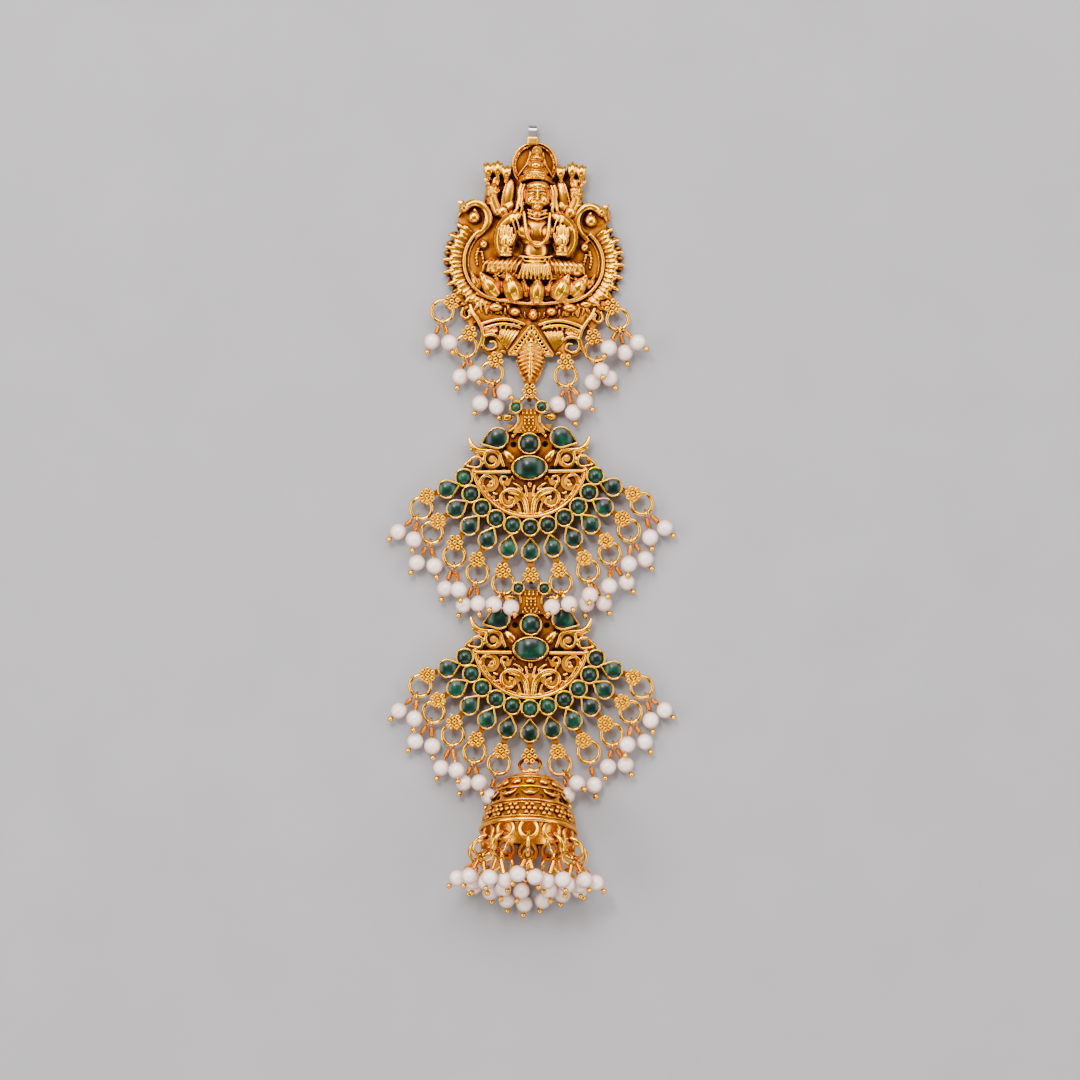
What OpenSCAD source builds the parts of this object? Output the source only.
// Braid ornament of cast gilt metal with green cabochons and pearl drops, lying flat on its back.
// X runs across it, +Y towards the end that hooks into the hair, and the surface it lies on is z = 0.

/* [Layout] */
// Distance between the arc centres of the two fan panels
panel_pitch = 31.55; // [31.3:0.05:31.6]
// Height of the middle of every level ring and pin above the surface
ring_z = 1.5; // [1.45:0.01:1.55]

/* [Fan panels] */
// Outer radius of the crescent
crescent_r = 10.4; // [10.3:0.05:10.5]
// Thickness of the plates
plate_t = 1.0; // [0.8:0.1:1.1]
// Radius of the inner row of stones, measured from the arc centre
inner_row_r = 11.87; // [11.8:0.01:11.9]
// Radius of the outer row of stones below the arc centre
outer_row_r = 16.2; // [16.1:0.05:16.3]
// Radius of the row of rosettes below the arc centre
rosette_row_r = 20.2; // [20.1:0.05:20.3]
// Wall of every bezel
bezel_wall = 0.25; // [0.2:0.05:0.3]
// Gap all round every stone
stone_gap = 0.06; // [0.05:0.01:0.08]

/* [Rings and pins] */
// Radius of a drop's jump ring, to the middle of its wire
ring_r = 1.86; // [1.84:0.01:1.88]
// Radius of a link ring, to the middle of its wire
link_r = 1.97; // [1.95:0.01:1.99]
// Wire radius of the rings
ring_wire = 0.34; // [0.3:0.01:0.36]
// Wire radius of the head pins
pin_wire = 0.2; // [0.16:0.01:0.22]
// Radius of the ball at the end of a head pin
pin_ball = 0.5; // [0.45:0.05:0.55]

/* [Pearls] */
// Diameter of a pearl
pearl_d = 2.9; // [2.8:0.05:2.95]
// Radius of the hole through a pearl
pearl_bore = 0.32; // [0.3:0.01:0.36]

/* [Dome] */
// Radius of the rim
dome_r = 8.45; // [8.4:0.01:8.5]
// Fall of the axis from the rim down to the crown
dome_lean = 20; // [19.5:0.5:20.5]
// Radius of the jump rings on the dome's rim
dome_ring_r = 2.05; // [2:0.01:2.08]

/* [Plaque] */
// Height of the plaque's back plate
plaque_t = 1.7; // [1.6:0.1:1.8]
// Radius of the halo
halo_r = 4.0; // [3.9:0.1:4.1]
// Number of rays in each of the two peacock fans
ray_count = 12; // [10:1:14]

/* [Hidden] */
$fn = 32;

gold = [0.83, 0.6, 0.22];
ring_gold = [0.88, 0.66, 0.25];
emerald = [0.02, 0.28, 0.16];
pearl_white = [0.93, 0.87, 0.84];
steel = [0.7, 0.71, 0.74];

// Where the four main pieces lie, and their turn about the vertical
plaque_at = [0.385, 45.25, 0];
plaque_turn = -1.8;
upper_at = [-0.35, 10.95, 0];
upper_turn = 0.7;
lower_at = [-0.12, 10.95 - panel_pitch, 0];
lower_turn = -0.6;
dome_at = [-0.5, -53.7, 8.4];
dome_turn = -2;

// Levels in a fan panel
plate_z = 1.0;
plate_top = plate_z + plate_t;
rim_top = 2.7;
bezel_z = 0.8;
bezel_top = 2.9;
seat_z = 1.5;
relief_top = 2.5;
crest_z = 2.1;
rosette_z = 2.3;
rosette_top = 2.8;

// Places in a fan panel, from its arc centre
bar_y = -1.84;
bar_w = 0.7;
rim_w = 0.7;
tip_spot = [2.25, 9.05];
pear_spot = [5.5, 3.75];
pear_lean = -19;
round_spot = [0, 2.7];
oval_spot = [0, -1.5];
leaf_spot = [3.2, 0.2];
curl_spot = [6.5, 0.1];
horn_spot = [8.2, 4.0];
loop_spot = [9.3, -0.45];
head_eye = [0, 7.0, ring_z];
scroll_spots = [[3.3, -6.5], [6.95, -4.0]];
scroll_r = 1.55;
scroll_hole = 0.85;
stem_w = 0.7;

// Sizes of the stones
inner_stone_r = 1.29;
outer_stone_r = 1.36;
outer_tip = 2.15;
round_stone_r = 1.62;
tip_stone_r = 0.82;
pear_stone_r = 1.6;
pear_tip = 2.75;
oval_long = 2.8;
oval_short = 1.78;
inner_pitch = 15;
row_pitch = 14.15;
outer_flatten = 0.012;
rosette_flatten = 0.017;

// Rosettes, their granules and the eyes behind them
rosette_r = 1.2;
granule_spread = 0.96;
granule_r = 0.3;
granule_wire = 0.17;
eye_r = 1.15;
eye_hole = 0.62;
eye_t = 0.7;
eye_offset = 0.45;
tail_eye_offset = 0.75;

// Loops, coils and ends of the head pins
loop_r = 0.72;
loop_wire = 0.17;
loop_step = 10;
coil_r = 0.5;
coil_pitch = 0.3;
coil_start = 1.0;
bead_play = 0.1;

// Plaque: middle and size of its fans, the birds, the halo, the sleeve on top and the hook in it
fan_disc = [5.4, 0];
fan_disc_r = 7;
ray_reach = 9.9;
bird = [10.5, 7.4];
halo_z = 1.6;
halo_t = 0.7;
sleeve_x = -0.9;
sleeve_y = 20.5;
sleeve_z = 1.3;
sleeve_w = 1.95;
sleeve_long = 1.4;
sleeve_t = 1.5;
hook_w = 1.4;
hook_t = 0.4;
hook_z = 1.8;
hook_in_y = 20.9;
hook_turn_y = 22.95;
hook_end_y = 11;
channel_w = 2.4;
channel_y = 10;
channel_z = 1.1;

// Dome: outer and inner wall as radius and height above the rim
dome_outside = [[dome_r, 0], [dome_r, 0.6], [7.95, 0.75], [7.05, 3.8], [6.85, 4.1], [6.05, 6.5],
    [5.9, 6.8], [4.9, 8.7], [3.7, 9.7], [0, 10]];
dome_inside = [[0, 9.2], [2.9, 9], [4.1, 8.1], [5.1, 6.5], [6.1, 3.8], [7.1, 0.7], [7.4, 0]];
dome_eye_r = 1.5;
dome_eye_wire = 0.45;
dome_eye_place = [7.75, -1.25];
dome_hang_gap = 0.14;
dome_eyes = 12;
dome_top_eye = 10.9;

// Rosettes of the plaque: x, y, hang of the ring, pearls x, y, z
plaque_drops = [
    [[-14.0, -7.3], -45, [[-17.3, -14.3, 1.5], [-14.2, -14.5, 3.2]]],
    [[-10.85, -12.7], -12, [[-12.2, -20.3, 1.5], [-9.6, -19.7, 3.3]]],
    [[-6.1, -17.2], -15, [[-8.6, -24.8, 1.5], [-5.6, -25.3, 1.5], [-4.3, -22.8, 3.4]]],
    [[6.1, -17.2], 2, [[4.9, -24.6, 1.5], [7.7, -25.9, 1.5], [9.7, -24.0, 2.9]]],
    [[10.85, -12.7], 13, [[10.9, -20.5, 1.5], [12.3, -18.6, 3.9], [13.9, -19.7, 1.5]]],
    [[14.0, -7.3], 24, [[13.5, -14.6, 3.7], [16.4, -15.2, 1.5], [18.6, -13.4, 3.0]]]
];

// Drops of the upper panel: number of the rosette from the middle, hang of the ring, pearls x, y, z
upper_drops = [
    [-5, -27, [[-23.1, -12.4, 1.5], [-20.3, -13.8, 3.0]]],
    [-4, -30, [[-19.9, -17.8, 1.5], [-16.8, -18.4, 1.5]]],
    [-3, -4, [[-15.0, -22.4, 1.5], [-12.6, -22.6, 3.3]]],
    [-2, 1, [[-11.8, -25.3, 1.5], [-9.2, -25.1, 3.0]]],
    [-1, 1, [[-6.5, -25.2, 4.5], [-3.5, -25.8, 4.5]]],
    [1, 8, [[3.6, -25.8, 4.5], [6.6, -25.3, 4.5]]],
    [2, 16, [[9.6, -25.4, 1.5], [10.2, -23.8, 4.1], [12.7, -25.3, 1.5]]],
    [3, 16, [[13.6, -22.3, 3.2], [16.7, -21.7, 1.5]]],
    [4, 30, [[17.1, -18.5, 2.6], [20.0, -17.7, 1.5]]],
    [5, 42, [[20.9, -13.9, 1.5], [23.5, -12.3, 1.5]]]
];

// Drops of the lower panel, in the same columns
lower_drops = [
    [-5, -33, [[-22.9, -12.6, 1.5], [-20.1, -13.9, 2.8]]],
    [-4, -20, [[-20.0, -17.9, 1.5], [-17.0, -18.7, 1.5]]],
    [-3, -7, [[-15.4, -22.5, 1.5], [-12.7, -22.8, 3.0]]],
    [-2, -7, [[-11.4, -25.1, 1.5], [-8.7, -24.9, 2.9]]],
    [-1, -11, [[-7.0, -27.4, 1.5]]],
    [1, 10, [[6.7, -27.0, 1.5], [8.3, -24.8, 3.4]]],
    [2, 25, [[11.3, -25.2, 1.5]]],
    [3, 31, [[13.7, -22.0, 1.5], [16.8, -21.6, 1.5]]],
    [4, 40, [[17.0, -18.0, 3.0], [20.1, -17.6, 1.5]]],
    [5, 40, [[21.1, -13.8, 1.5], [23.5, -12.0, 1.5]]]
];

// Drops of the dome: angle of the eye from the top of the rim, turn and fall of the ring,
// pearls x, y, z from the middle of the rim
dome_drops = [
    [0, 0, 20, [[-1.6, -6.5, 6.0], [1.4, -6.9, 6.2]]],
    [30, 8, 22, [[3.5, -7.8, 3.9], [6.2, -7.3, 5.2]]],
    [60, 12, 25, [[7.0, -8.6, 1.0], [9.9, -7.6, 1.6]]],
    [90, 15, 20, [[9.2, -9.0, -2.3], [12.0, -8.3, -1.5]]],
    [120, 5, 10, [[6.3, -11.0, -5.8], [9.2, -10.2, -6.5]]],
    [150, 0, -8, [[4.0, -10.2, -3.7], [2.9, -12.3, -6.8]]],
    [180, 0, -28, [[-0.9, -10.5, -4.3], [-0.3, -13.0, -6.8]]],
    [210, 0, -8, [[-4.1, -10.2, -3.7], [-3.4, -12.4, -6.8]]],
    [240, -5, 10, [[-6.3, -11.0, -5.9], [-9.2, -10.2, -6.6]]],
    [270, -15, 20, [[-9.2, -9.0, -2.3], [-12.0, -8.3, -1.5]]],
    [300, -12, 25, [[-7.0, -8.6, 1.0], [-9.9, -7.6, 1.6]]],
    [330, -8, 22, [[-3.7, -7.9, 3.7], [-6.4, -7.4, 5.0]]]
];

function unit(v) = v / norm(v);
function polar(r, a) = [r * sin(a), -r * cos(a)];
function lift(p, z) = [p.x, p.y, z];
function outer_spot(k) = polar(outer_row_r - outer_flatten * abs(k * row_pitch), k * row_pitch);
function rosette_spot(k) = polar(rosette_row_r - rosette_flatten * abs(k * row_pitch), k * row_pitch);
function dome_radius(r, rise) = (r * r + rise * rise) / (2 * rise);
function leaf_half(i) = [1.9, 2.3, 2.3, 2.0, 1.6, 0.9][i];
function mean(points) = [for (p = points) 1] * points / len(points);

// A point of one piece in the frame that all the pieces share
function spin(p, a) = [p.x * cos(a) - p.y * sin(a), p.x * sin(a) + p.y * cos(a), p.z];
function placed(p, at, turn) = spin(p, turn) + at;
function tip_down(p) = [p.x, cos(dome_lean) * p.z - sin(dome_lean) * p.y,
    -cos(dome_lean) * p.y - sin(dome_lean) * p.z];

// A drop is its eye, the way its ring hangs, the ring's other direction, its radius and its pearls
function level_drop(spot, hang, pearls) =
    let (down = lift(polar(1, hang), 0))
    [lift(spot, ring_z) + eye_offset * down, down, [cos(hang), sin(hang), 0], ring_r, pearls];
function panel_drop(row) = level_drop(rosette_spot(row[0]), row[1], row[2]);
function plaque_drop(row) = level_drop(row[0], row[1], row[2]);
function dome_drop(row) =
    let (
        eye = tip_down(lift(polar(dome_eye_place[0], row[0]), dome_eye_place[1])),
        out = tip_down(lift(polar(1, row[0]), 0)),
        down = [sin(row[1]) * cos(row[2]), -cos(row[1]) * cos(row[2]), -sin(row[2])],
        wire_spot = eye + dome_eye_r * unit(down - (out * down) * out),
        hang = ring_wire + dome_eye_wire + dome_hang_gap
    )
    [wire_spot - hang * down, down, unit(out - (out * down) * down), dome_ring_r, row[3]];
function ring_middle(drop) = drop[0] + drop[3] * drop[1];
function hook_angle(drop, k) =
    let (to = mean(drop[4]) - ring_middle(drop))
    atan2(to * drop[2], to * drop[1]) + (k - (len(drop[4]) - 1) / 2) * loop_step;
function hook_point(drop, k) =
    let (a = hook_angle(drop, k))
    ring_middle(drop) + drop[3] * (cos(a) * drop[1] + sin(a) * drop[2]);
function hook_tangent(drop, k) =
    let (a = hook_angle(drop, k))
    cos(a) * drop[2] - sin(a) * drop[1];

// Half outline of a head pin from its loop to its ball: wire, coil, wire
function pin_outline(reach) =
    let (
        coils = floor((reach - pearl_d / 2 - bead_play - coil_start) / coil_pitch),
        coil_end = coil_start + max(coils, 0) * coil_pitch
    )
    concat(
        [[0, loop_r], [pin_wire, loop_r], [pin_wire, coil_start - 0.05]],
        [for (i = [0 : 1 : coils - 1]) each [
            [0.75 * coil_r, coil_start + i * coil_pitch],
            [coil_r, coil_start + (i + 0.5) * coil_pitch]
        ]],
        [[pin_wire, coil_end + 0.05], [pin_wire, reach + pearl_d / 2 + pin_ball],
            [0, reach + pearl_d / 2 + pin_ball]]
    );

module at_plaque() {
    translate(plaque_at) rotate(plaque_turn) children();
}

module at_upper() {
    translate(upper_at) rotate(upper_turn) children();
}

module at_lower() {
    translate(lower_at) rotate(lower_turn) children();
}

module at_dome() {
    translate(dome_at) rotate(dome_turn) children();
}

// The dome's own axis, from the rim to the crown, laid down so that the crown is the lower end
module tipped() {
    rotate([-90 - dome_lean, 0, 0]) children();
}

module framed(origin, x_way, y_way) {
    z_way = cross(x_way, y_way);
    multmatrix([
        [x_way.x, y_way.x, z_way.x, origin.x],
        [x_way.y, y_way.y, z_way.y, origin.y],
        [x_way.z, y_way.z, z_way.z, origin.z],
        [0, 0, 0, 1]
    ]) children();
}

module mirrored() {
    children();
    mirror([1, 0, 0]) children();
}

module wire_ring(r, wire) {
    rotate_extrude() translate([r, 0]) circle(wire);
}

module arc_band(r, w, h, from, sweep) {
    rotate(from) rotate_extrude(angle = sweep) translate([r - w / 2, 0]) square([w, h]);
}

// A disc drawn out to a point on its +X side
module tipped_disc(r, tip, grow) {
    big_r = r + grow;
    big_tip = tip * big_r / r;
    a = acos(big_r / big_tip);
    circle(big_r);
    polygon([[big_tip, 0], 0.97 * big_r * [cos(a), sin(a)], 0.97 * big_r * [cos(a), -sin(a)]]);
}

module oval(long, short) {
    polygon([for (a = [0 : 15 : 345]) [long * cos(a), short * sin(a)]]);
}

// Rings, pins and pearls of one drop
module drop_ring(drop) {
    framed(ring_middle(drop), drop[1], drop[2]) wire_ring(drop[3], ring_wire);
}

module pin_frame(drop, k) {
    from = hook_point(drop, k);
    axis = unit(drop[4][k] - from);
    across = unit(hook_tangent(drop, k) - (hook_tangent(drop, k) * axis) * axis);
    framed(from, axis, cross(across, axis)) children();
}

module head_pin(drop, k) {
    reach = norm(drop[4][k] - hook_point(drop, k));
    ball_at = reach + pearl_d / 2 + bead_play + pin_ball;
    pin_frame(drop, k) {
        rotate_extrude() translate([loop_r, 0]) circle(loop_wire, $fn = 6);
        rotate([0, 90, 0]) rotate_extrude() {
            polygon(pin_outline(reach));
            translate([0, ball_at]) intersection() {
                circle(pin_ball);
                translate([0, -1]) square(2);
            }
        }
    }
}

module drop_pearl(drop, k) {
    reach = norm(drop[4][k] - hook_point(drop, k));
    pin_frame(drop, k) translate([reach, 0, 0]) rotate([0, 90, 0]) rotate_extrude() difference() {
        circle(d = pearl_d);
        translate([-pearl_d, -pearl_d]) square([pearl_d + pearl_bore, 2 * pearl_d]);
    }
}

module drop_rings(drops) {
    for (drop = drops) drop_ring(drop);
}

module drop_pins(drops) {
    for (drop = drops, k = [0 : len(drop[4]) - 1]) head_pin(drop, k);
}

module drop_pearls(drops) {
    for (drop = drops, k = [0 : len(drop[4]) - 1]) drop_pearl(drop, k);
}

// A jump ring through two eyes
module link(from, to, r) {
    hang = unit(to - from);
    framed((from + to) / 2, hang, unit(cross([0, 0, 1], hang))) wire_ring(r, ring_wire);
}

// Six granules round one on a disc, with the eye for a ring behind it
module rosette(hang, offset) {
    translate([0, 0, rosette_z]) cylinder(r = rosette_r, h = rosette_top - rosette_z);
    for (a = [0 : 60 : 300])
        rotate(a) translate([granule_spread, 0, rosette_top]) wire_ring(granule_r, granule_wire);
    translate([0, 0, rosette_top]) wire_ring(granule_r, granule_wire);
    rotate(hang) translate([0, -offset, ring_z]) eye();
}

module eye() {
    rotate([0, 90, 0]) difference() {
        cylinder(r = eye_r, h = eye_t, center = true);
        cylinder(r = eye_hole, h = eye_t + 1, center = true);
    }
}

module bezel(z, top) {
    translate([0, 0, z]) linear_extrude(top - z) children();
}

// Stone outlines of a panel, each grown by a margin
module pear_outline(grow) {
    translate(pear_spot) rotate(pear_lean) tipped_disc(pear_stone_r, pear_tip, grow);
}

module outer_outline(k, grow) {
    translate(outer_spot(k)) rotate(k * row_pitch + 90) tipped_disc(outer_stone_r, outer_tip, grow);
}

module inner_outline(k, grow) {
    translate(polar(inner_row_r, k * inner_pitch)) circle(inner_stone_r + grow);
}

// A cabochon: an outline with a low dome of radius r over it
module cabochon(spot, top, r) {
    intersection() {
        translate([0, 0, seat_z + stone_gap]) linear_extrude(3) children();
        translate([spot.x, spot.y, top - r]) sphere(r, $fn = 48);
    }
}

// Scrolls and leaves raised on the crescent, one side
module scroll_relief() {
    for (spot = scroll_spots)
        translate(spot) difference() {
            circle(scroll_r);
            translate([0.25, 0.1]) circle(scroll_hole);
        }
    for (a = [44, 66])
        translate(polar(5.7, a)) rotate(a + 90) tipped_disc(0.5, 1.3, 0);
    for (a = [13, 44, 76])
        translate(polar(9.2, a)) rotate(a - 90) tipped_disc(0.35, 1.0, 0);
}

module crescent() {
    translate([0, 0, plate_z]) linear_extrude(plate_t) intersection() {
        circle(crescent_r - 0.2);
        translate([-crescent_r, -2 * crescent_r + bar_y]) square(2 * crescent_r);
    }
    arc_band(crescent_r - rim_w / 2, rim_w, rim_top, 191, 158);
    mirrored() translate([3.1, bar_y - bar_w, plate_z]) cube([6.8, bar_w, rim_top - plate_z]);
    translate([0, 0, plate_top - 0.1]) linear_extrude(relief_top - plate_top + 0.1) {
        mirrored() scroll_relief();
        translate([-stem_w / 2, -9.9]) square([stem_w, 4.1]);
    }
}

// Everything above the crescent: hub, crest, leaves, curls, horns and loops
module head_metal() {
    translate([0, 0, plate_z]) linear_extrude(plate_t) difference() {
        polygon([[-4.2, 4.9], [4.2, 4.9], [3.6, -2.2], [-3.6, -2.2]]);
        mirrored() translate([2.75, 2.6]) circle(0.55);
    }
    bezel(plate_z, bezel_top) polygon([[-2.8, 4.6], [2.8, 4.6], [1.9, 6.2], [-1.9, 6.2]]);
    bezel(crest_z, bezel_top) polygon([[-2.8, 4.6], [2.8, 4.6], [1.7, 7.2], [2.6, 8.8], [-2.6, 8.8], [-1.7, 7.2]]);
    translate(head_eye) eye();
    for (y = [5.2, 6.2, 7.2], x = [-1, 0, 1])
        translate([0.85 * x * (8.6 - y) / 3, y, bezel_top]) sphere(0.3);
    mirrored() {
        bezel(plate_z, relief_top) translate([3.0, 5.4]) rotate(35) tipped_disc(0.6, 1.2, 0);
        bezel(plate_z, relief_top) translate(leaf_spot) rotate(35) tipped_disc(0.8, 1.9, 0);
        bezel(plate_z, plate_top) translate([2.6, -1.2]) square([4.2, 2.2]);
        translate([curl_spot.x, curl_spot.y, plate_z]) arc_band(1.35, 0.55, 1.5, 0, 360);
        translate([curl_spot.x, curl_spot.y, plate_z]) cylinder(r = 0.6, h = 1.6);
        translate([curl_spot.x, curl_spot.y - 2.4, plate_z]) cylinder(r = 0.9, h = 1.2);
        translate([horn_spot.x, horn_spot.y, plate_z]) arc_band(2.2, 0.7, 1.5, -100, 85);
        bezel(plate_z, plate_top + 0.2) difference() {
            translate(loop_spot) rotate(-15) tipped_disc(1.25, 2.3, 0);
            translate(loop_spot) circle(0.7);
        }
        bezel(plate_z, plate_top) translate([7.4, -0.6]) square([1.0, 2.6]);
    }
}

module fan_metal(drops) {
    crescent();
    head_metal();
    bezel(plate_z, 3.3) translate(oval_spot) oval(oval_long + 0.35, oval_short + 0.35);
    bezel(bezel_z, bezel_top) translate(round_spot) circle(round_stone_r + stone_gap + bezel_wall);
    mirrored() bezel(bezel_z, bezel_top) pear_outline(stone_gap + bezel_wall);
    mirrored() bezel(crest_z, 3.5) translate(tip_spot) circle(tip_stone_r + stone_gap + bezel_wall);
    for (k = [-5 : 5]) {
        bezel(bezel_z, bezel_top) inner_outline(k, stone_gap + bezel_wall);
        bezel(bezel_z, bezel_top) outer_outline(k, stone_gap + bezel_wall);
        translate(lift(polar(13.4, k * row_pitch), plate_z)) cylinder(r = 0.45, h = 1.5);
        translate(rosette_spot(k)) rotate(k * row_pitch) translate([-0.5, 0.6, 1.9]) cube([1.0, 2.2, 0.7]);
    }
    translate(rosette_spot(0)) rosette(0, eye_offset);
    for (row = drops) translate(rosette_spot(row[0])) rosette(row[1], eye_offset);
}

module fan_seats() {
    bezel(2.1, 6) translate(oval_spot) oval(oval_long + stone_gap, oval_short + stone_gap);
    bezel(seat_z, 6) translate(round_spot) circle(round_stone_r + stone_gap);
    mirrored() bezel(seat_z, 6) pear_outline(stone_gap);
    mirrored() bezel(2.6, 6) translate(tip_spot) circle(tip_stone_r + stone_gap);
    for (k = [-5 : 5]) {
        bezel(seat_z, 6) inner_outline(k, stone_gap);
        bezel(seat_z, 6) outer_outline(k, stone_gap);
    }
}

module fan(drops) {
    difference() {
        fan_metal(drops);
        fan_seats();
    }
}

module pear_stone() {
    color(emerald) cabochon(pear_spot, 3.5, 3.6) pear_outline(0);
}

module round_stone() {
    color(emerald) cabochon(round_spot, 3.5, dome_radius(round_stone_r, 0.6))
        translate(round_spot) circle(round_stone_r);
}

module oval_stone() {
    color(emerald) translate([0, 0, 0.6]) cabochon(oval_spot, 3.7, 4.2)
        translate(oval_spot) oval(oval_long, oval_short);
}

module tip_stones() {
    color(emerald) translate([0, 0, 1.1]) mirrored()
        cabochon(tip_spot, 2.8, dome_radius(tip_stone_r, 0.4)) translate(tip_spot) circle(tip_stone_r);
}

module inner_stones() {
    color(emerald) for (k = [-5 : 5])
        cabochon(polar(inner_row_r, k * inner_pitch), 3.45, dome_radius(inner_stone_r, 0.6))
            inner_outline(k, 0);
}

module outer_stones() {
    color(emerald) for (k = [-5 : 5]) cabochon(outer_spot(k), 3.4, 2.6) outer_outline(k, 0);
}

upper_drop_list = [for (row = upper_drops) panel_drop(row)];
lower_drop_list = [for (row = lower_drops) panel_drop(row)];
plaque_drop_list = [for (row = plaque_drops) plaque_drop(row)];
dome_drop_list = [for (row = dome_drops) dome_drop(row)];

// Eyes that the link rings pass through, in the shared frame
plaque_tail = placed([0, -22.5 - tail_eye_offset, ring_z], plaque_at, plaque_turn);
upper_head = placed(head_eye, upper_at, upper_turn);
upper_tail = placed([0, -rosette_row_r - eye_offset, ring_z], upper_at, upper_turn);
lower_head = placed(head_eye, lower_at, lower_turn);
lower_tail = placed([0, -rosette_row_r - eye_offset, ring_z], lower_at, lower_turn);
dome_head = placed(tip_down([0, 0, dome_top_eye]), dome_at, dome_turn);

module upper_fan() {
    color(gold) at_upper() fan(upper_drops);
}

module lower_fan() {
    color(gold) at_lower() fan(lower_drops);
}

module plaque_link_ring() {
    color(ring_gold) link(plaque_tail, upper_head, link_r);
}

module upper_link_ring() {
    color(ring_gold) link(upper_tail, lower_head, link_r);
}

module dome_link_ring() {
    color(ring_gold) link(lower_tail, dome_head, ring_r);
}

// Granulated flower lying on the dome's band, seen from outside
module band_flower() {
    cylinder(r = 1.15, h = 0.8, center = true);
    translate([0, 0, 0.4]) sphere(0.38);
    for (a = [0 : 60 : 300]) rotate(a) translate([0.84, 0, 0.4]) sphere(0.36);
}

module round_dome(count, r, h, tilt) {
    for (i = [0 : count - 1]) rotate(360 * i / count) translate([0, -r, h]) rotate([90 - tilt, 0, 0]) children();
}

module dome_shell() {
    rotate_extrude() polygon(concat(dome_outside, dome_inside));
    translate([0, 0, 3.95]) wire_ring(6.85, 0.27);
    translate([0, 0, 6.65]) wire_ring(5.85, 0.27);
    translate([0, 0, 9.4]) wire_ring(3.9, 0.25);
}

module dome_casting() {
    difference() {
        dome_shell();
        round_dome(10, 6.4, 5.9, 0) cylinder(r = 0.8, h = 4, center = true);
        rotate(18) round_dome(10, 6.6, 4.9, 0) cylinder(r = 0.45, h = 4, center = true);
    }
    round_dome(16, 7.2, 2.3, 15) band_flower();
    round_dome(14, 5.2, 7.8, 0) sphere(0.7);
    round_dome(dome_eyes, dome_eye_place[0], dome_eye_place[1], 0) wire_ring(dome_eye_r, dome_eye_wire);
    translate([0, 0, dome_top_eye]) eye();
    translate([0, 0, 9.5]) cylinder(r = 0.9, h = 0.9);
}

module dome() {
    color(gold) at_dome() tipped() dome_casting();
}

module upper_pear_stone_left() {
    at_upper() mirror([1, 0, 0]) pear_stone();
}

module upper_pear_stone_right() {
    at_upper() pear_stone();
}

module upper_round_stone() {
    at_upper() round_stone();
}

module upper_oval_stone() {
    at_upper() oval_stone();
}

module upper_tip_stones() {
    at_upper() tip_stones();
}

module upper_inner_stones() {
    at_upper() inner_stones();
}

module upper_outer_stones() {
    at_upper() outer_stones();
}

module lower_pear_stone_left() {
    at_lower() mirror([1, 0, 0]) pear_stone();
}

module lower_pear_stone_right() {
    at_lower() pear_stone();
}

module lower_round_stone() {
    at_lower() round_stone();
}

module lower_oval_stone() {
    at_lower() oval_stone();
}

module lower_tip_stones() {
    at_lower() tip_stones();
}

module lower_inner_stones() {
    at_lower() inner_stones();
}

module lower_outer_stones() {
    at_lower() outer_stones();
}

module plaque_drop_rings() {
    color(ring_gold) at_plaque() drop_rings(plaque_drop_list);
}

module plaque_drop_pins() {
    color(ring_gold) at_plaque() drop_pins(plaque_drop_list);
}

module plaque_pearls() {
    color(pearl_white) at_plaque() drop_pearls(plaque_drop_list);
}

module upper_drop_rings() {
    color(ring_gold) at_upper() drop_rings(upper_drop_list);
}

module upper_drop_pins() {
    color(ring_gold) at_upper() drop_pins(upper_drop_list);
}

module upper_pearls() {
    color(pearl_white) at_upper() drop_pearls(upper_drop_list);
}

module lower_drop_rings() {
    color(ring_gold) at_lower() drop_rings(lower_drop_list);
}

module lower_drop_pins() {
    color(ring_gold) at_lower() drop_pins(lower_drop_list);
}

module lower_pearls() {
    color(pearl_white) at_lower() drop_pearls(lower_drop_list);
}

module dome_drop_rings() {
    color(ring_gold) at_dome() drop_rings(dome_drop_list);
}

module dome_drop_pins() {
    color(ring_gold) at_dome() drop_pins(dome_drop_list);
}

module dome_pearls() {
    color(pearl_white) at_dome() drop_pearls(dome_drop_list);
}

// A strip of steel that leaves the sleeve at the plaque's top, turns over and runs down behind it
module hair_hook() {
    low_z = 0.1;
    turn_r = (hook_z + hook_t - low_z) / 2;
    color(steel) at_plaque() translate([sleeve_x, hook_turn_y, 0]) {
        translate([-hook_w / 2, hook_in_y - hook_turn_y, hook_z])
            cube([hook_w, hook_turn_y - hook_in_y, hook_t]);
        translate([-hook_w / 2, hook_end_y - hook_turn_y, low_z])
            cube([hook_w, hook_turn_y - hook_end_y, hook_t]);
        translate([-hook_w / 2, 0, low_z + turn_r]) rotate([90, 0, 90])
            rotate([0, 0, -90]) linear_extrude(hook_w) intersection() {
                difference() {
                    circle(turn_r);
                    circle(turn_r - hook_t);
                }
                translate([-turn_r, 0]) square(2 * turn_r);
            }
    }
}

// A rod with round ends that may differ in size
module rod(from, to, r, end_r) {
    hull() {
        translate(from) sphere(r, $fn = 6);
        translate(to) sphere(end_r, $fn = 6);
    }
}

// A raised line with a flat foot
module ridge(from, to, r, end_r) {
    hull() {
        translate(from) cylinder(r1 = r, r2 = 0.4 * r, h = 1.6 * r, $fn = 4);
        translate(to) cylinder(r1 = end_r, r2 = 0.4 * end_r, h = 1.6 * end_r, $fn = 4);
    }
}

module bump(at, size) {
    translate(at) scale(size) sphere(1);
}

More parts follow.
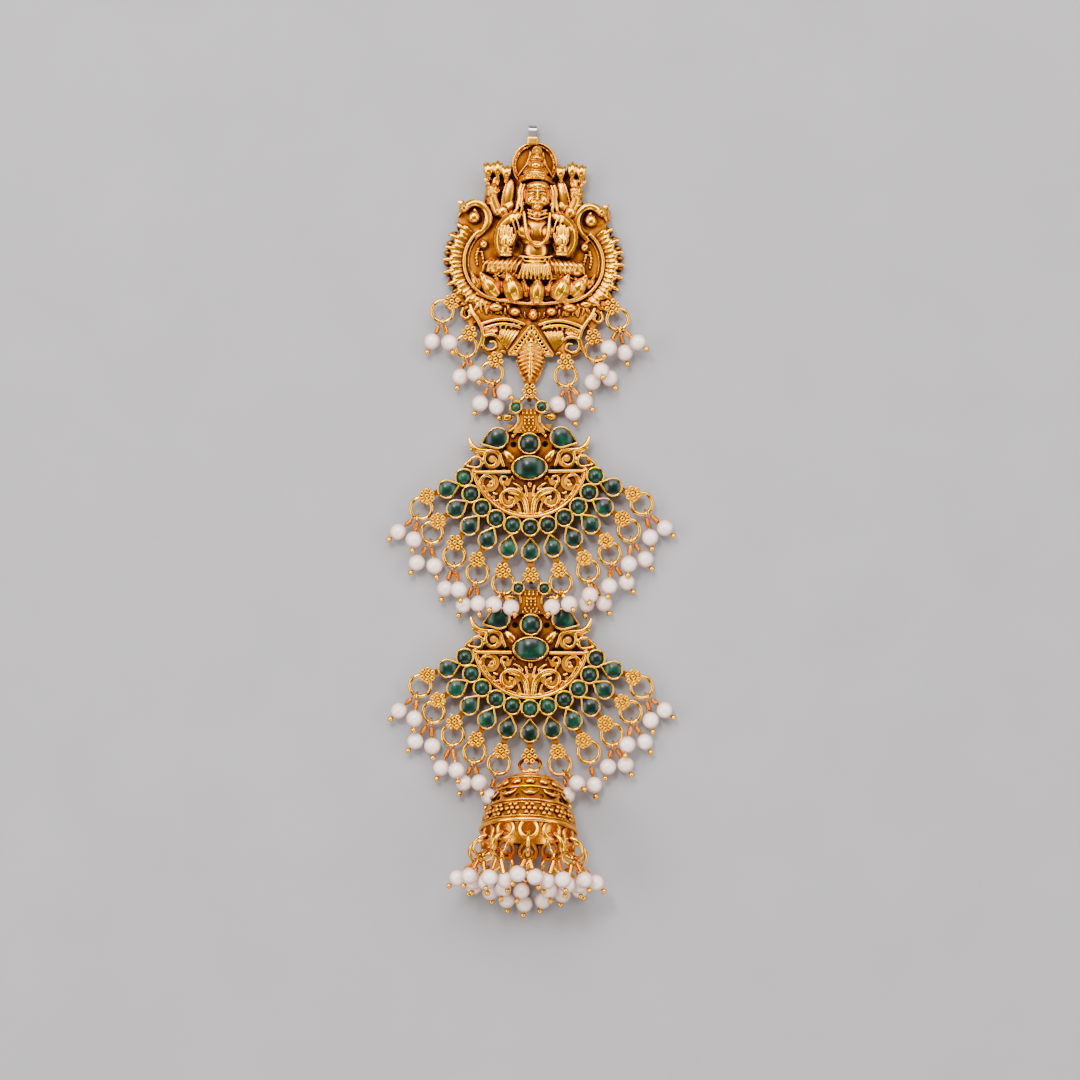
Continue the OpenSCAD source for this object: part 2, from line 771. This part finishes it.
module cast_rosette(hang, offset) {
    translate([0, 0, rosette_z]) linear_extrude(rosette_top + granule_wire - rosette_z) {
        circle(rosette_r - 0.2, $fn = 6);
        for (a = [0 : 60 : 300]) rotate(a) translate([granule_spread, 0]) circle(0.46, $fn = 6);
    }
    rotate(hang) translate([0, -offset, ring_z]) eye($fn = 8);
    rotate(hang) translate([-0.5, 0.25, 0.9]) cube([1, 2.9, 1.5]);
}

// Outline of the plate behind the relief, and the openings between the scrolls of its lower part
module plate_outline() {
    mirrored() translate(fan_disc) circle(fan_disc_r, $fn = 24);
    translate([-0.4, 0]) mirrored() {
        polygon([[0, 14.2], [6.5, 14.6], [8.4, 13.2], [8.6, 10.6], [7.6, 8.6], [8.2, 5], [0, 0]]);
        translate(bird) circle(2.6, $fn = 12);
        translate([6.5, 14.9]) circle(1.75, $fn = 9);
    }
    mirrored() polygon([[0, -5], [9, -6], [12.6, -7.2], [12.3, -9.2], [11.4, -10.8], [9.9, -11],
        [8.8, -12.3], [8.6, -15.4], [7.2, -16.4], [4.2, -16], [2.1, -15.2], [2.4, -16.9], [2, -19],
        [1.2, -20.8], [0, -21.6]]);
}

module plate_openings() {
    mirrored() {
        translate([11, -9.1]) circle(0.6, $fn = 8);
        translate([7.3, -14.2]) circle(1.2, $fn = 8);
        polygon([[2.3, -14.5], [3.5, -15.2], [2.6, -13.4]]);
        polygon([[0.5, -13], [1.6, -14], [0.9, -12.4]]);
        translate([5.2, -13.2]) circle(0.45, $fn = 8);
    }
}

// Feather fan of a peacock: its bead, rim and rays, and the bird's curled neck
module peacock() {
    for (i = [0 : ray_count - 1])
        translate(fan_disc) rotate(38 - i * 112 / (ray_count - 1))
            ridge([6.8, 0, 0.3], [ray_reach, 0, 0.3], 0.5, 0.78);
    translate(lift(fan_disc, plaque_t - 0.1)) arc_band(6.7, 0.55, 1.0, -85, 135, $fn = 32);
    bump([8.9, 3.1, plaque_t], [0.95, 0.95, 1.2]);
    translate([-0.4, 0]) {
        translate(lift(bird, plaque_t - 0.1)) arc_band(2.3, 0.8, 1.1, 20, 220, $fn = 20);
        bump([11.3, 7.9, plaque_t], [1.5, 1.3, 1.3]);
        bump([12.6, 9.2, plaque_t], [1.1, 0.9, 1.1]);
        ridge([12.9, 8.9, 1.6], [13.4, 7.6, 1.4], 0.6, 0.3);
        ridge([12.6, 9.6, 1.6], [13.2, 10.5, 1.4], 0.5, 0.35);
    }
}

// One side of the figure: arms and hands, lotus buds, hair, leg
module figure_side() {
    translate([-0.4, 0]) {
        rod([4.2, 8.4, 1.9], [5.4, 12.6, 1.9], 1.4, 1.0);
        ridge([6.4, 9.9, 1.6], [8.4, 10.5, 1.6], 0.7, 0.7);
        bump([7.4, 12.1, plaque_t], [1.4, 1.4, 1.6]);
        bump([7.5, 12.2, plaque_t + 0.9], [0.8, 0.8, 1.0]);
        for (x = [4.7, 6.6, 8.2]) hull() {
            bump([x, 15.2, plaque_t], [0.95, 1.0, 1.2]);
            bump([x + 0.1 * (x - 6), 17.0, plaque_t], [0.25, 0.25, 0.3]);
        }
        rod([6.6, 13.8, 1.8], [7.0, 14.4, 1.8], 0.8, 0.9);
    }
    ridge([2.1, 12.8, 2.8], [2.6, 10.4, 2.8], 0.8, 0.8);
    ridge([2.6, 10.4, 2.8], [4.1, 8.6, 2.6], 0.8, 0.6);
    rod([4.6, 6.9, 2.6], [5.9, 4.4, 2.4], 1.5, 1.4);
    rod([5.9, 4.4, 2.4], [5.3, 1.2, 2.6], 1.4, 1.2);
    hull() {
        bump([4.8, 3.0, 4.1], [1.4, 0.9, 0.5]);
        bump([4.9, 1.5, 3.9], [1.2, 0.8, 0.5]);
    }
    for (i = [0 : 3]) ridge([3.9 + 0.62 * i, 3.2, 4.2], [4.0 + 0.62 * i, 5.5 - 0.3 * abs(i - 1), 4.0], 0.36, 0.3);
    ridge([3.8, 1.9, 4.1], [3.2, 3.9, 4.1], 0.45, 0.35);
    ridge([3.9, 1.25, 3.7], [5.7, 1.15, 3.7], 0.5, 0.5);
    rod([1.2, -0.6, 2.9], [6.6, -1.0, 2.5], 1.5, 1.4);
    rod([6.6, -1.4, 2.5], [1.6, -2.8, 2.9], 1.2, 0.9);
    for (x = [3.0, 5.2]) ridge([x, 0.5, 3.6 - 0.12 * x], [x + 0.6, -2.2, 3.6 - 0.12 * x], 0.5, 0.45);
}

// A lotus petal from its tip to the swell near its foot
module petal(tip, swell, r) {
    hull() {
        bump(lift(tip, 2.6), [0.25, 0.25, 0.4]);
        bump(lift(swell, plaque_t), [r, r * 1.25, r * 1.35]);
    }
}

module lotus() {
    petal([0.5, -2.9], [0.6, -5.9], 1.4);
    mirrored() {
        petal([8.9, -2.3], [6.9, -4.9], 1.4);
        petal([10.7, -2.3], [9.4, -4.3], 0.9);
        petal([4.2, -2.2], [3.4, -5.3], 1.6);
        bump([3.3, -8.6, plaque_t], [1.25, 1.0, 1.5]);
        bump([6.6, -7.8, plaque_t], [1.6, 0.9, 1.3]);
        bump([9.6, -7.2, plaque_t], [1.5, 0.7, 1.0]);
    }
    bump([0.4, -9.0, plaque_t], [1.1, 1.3, 1.8]);
}

// Torso, neck, head, crown and necklace
module figure_middle() {
    hull() {
        mirrored() bump([3.6, 6.9, 2.4], [1.4, 1.3, 1.6]);
        bump([0.4, 1.4, 2.4], [2.4, 1.4, 1.8]);
    }
    mirrored() bump([1.9, 5.3, 3.4], [1.5, 1.5, 1.2]);
    bump([0.4, -0.6, 2.6], [2.6, 1.4, 1.8]);
    rod([0.3, 9.6, 2.9], [0.3, 8.0, 2.9], 1.2, 1.4);
    translate([0.3, 11.7, 3.6]) scale([1.95, 2.5, 2.4]) sphere(1, $fn = 12);
    ridge([0.3, 12.1, 5.6], [0.3, 11.2, 5.8], 0.3, 0.35);
    hull() {
        bump([0.1, 14.5, 2.6], [2.7, 0.8, 2.4]);
        bump([0.1, 18.2, 2.2], [1.1, 0.6, 1.2]);
    }
    rod([-2.9, 13.9, 3.3], [0.1, 14.6, 4.9], 0.5, 0.5);
    rod([0.1, 14.6, 4.9], [3.1, 13.9, 3.3], 0.5, 0.5);
    bump([0.2, 16.7, 3.2], [1.6, 1.1, 1.9]);
    bump([0.1, 19.1, 2.6], [1.0, 1.0, 1.4]);
    for (x = [-1, 1]) {
        ridge([0.2 + 1.7 * x, 8.4, 3.9], [0.4 + 1.4 * x, 4.4, 4.4], 0.4, 0.4);
        ridge([0.4 + 1.4 * x, 4.4, 4.4], [0.5, 3.0, 4.1], 0.4, 0.4);
    }
    for (y = [9.2, 8.2]) ridge([-1.1, y, 3.6], [1.7, y, 3.6], 0.42, 0.42);
    ridge([-2.4, 0.8, 3.8], [3.0, 0.8, 3.8], 0.4, 0.4);
    for (i = [0 : 5]) ridge([-1.4 + 0.75 * i, -0.6, 3.9], [-2.2 + 1.1 * i, -3.0, 3.3], 0.5, 0.45);
}

// Scrolls, the two slanting bands and the leaf below the lotus
module lower_relief() {
    base = plaque_t - 0.1;
    mirrored() {
        ridge([0.2, -10.6, base], [3.8, -15.6, base], 0.55, 0.5);
        translate([4.4, -14.6, base]) arc_band(4.7, 0.5, 0.9, 25, 105, $fn = 24);
        translate([7.3, -14.2, base]) arc_band(1.6, 0.5, 0.9, 0, 360, $fn = 12);
        translate([11, -9.1, base]) arc_band(0.95, 0.5, 0.9, 0, 360, $fn = 10);
        ridge([9.2, -8.8, base], [9, -11.4, base], 0.45, 0.35);
        ridge([9, -11.4, base], [8.3, -15.2, base], 0.35, 0.35);
        for (i = [0 : 5]) ridge([0, -14.1 - 1.13 * i, 1.5], [leaf_half(i), -15.1 - 1.09 * i, 1.3], 0.62, 0.55);
    }
    ridge([0.02, -13.6, 1.6], [0, -21, 1.5], 0.75, 0.7);
}

module goddess_plaque() {
    $fn = 6;
    color(gold) at_plaque() difference() {
        union() {
            linear_extrude(plaque_t) difference() {
                plate_outline();
                plate_openings();
            }
            translate([-0.3, 16.9, halo_z]) cylinder(r = halo_r, h = halo_t, $fn = 32);
            translate([-0.3, 16.9, halo_z + halo_t]) rotate_extrude($fn = 32)
                translate([halo_r - 0.25, 0]) circle(0.35, $fn = 6);
            translate([-0.3, 12.6, halo_z]) linear_extrude(halo_t) square([7, 3.4], center = true);
            translate([sleeve_x - sleeve_w / 2, sleeve_y, sleeve_z]) cube([sleeve_w, sleeve_long, sleeve_t]);
            figure_middle();
            mirrored() figure_side();
            mirrored() peacock();
            lotus();
            lower_relief();
            for (row = plaque_drops) translate(row[0]) cast_rosette(row[1], eye_offset);
            translate([0, -22.5]) cast_rosette(0, tail_eye_offset);
        }
        translate([sleeve_x - channel_w / 2, channel_y, -1]) cube([channel_w, 20, channel_z + 1]);
        translate([sleeve_x - hook_w / 2 - stone_gap, hook_in_y - 0.2, hook_z - stone_gap])
            cube([hook_w + 2 * stone_gap, 4, hook_t + 2 * stone_gap]);
        translate([-20, -30, -10]) cube([40, 60, 10]);
    }
}

goddess_plaque();
hair_hook();
plaque_link_ring();
plaque_drop_rings();
plaque_drop_pins();
plaque_pearls();
upper_fan();
upper_pear_stone_left();
upper_pear_stone_right();
upper_round_stone();
upper_oval_stone();
upper_tip_stones();
upper_inner_stones();
upper_outer_stones();
upper_link_ring();
upper_drop_rings();
upper_drop_pins();
upper_pearls();
lower_fan();
lower_pear_stone_left();
lower_pear_stone_right();
lower_round_stone();
lower_oval_stone();
lower_tip_stones();
lower_inner_stones();
lower_outer_stones();
dome_link_ring();
lower_drop_rings();
lower_drop_pins();
lower_pearls();
dome();
dome_drop_rings();
dome_drop_pins();
dome_pearls();
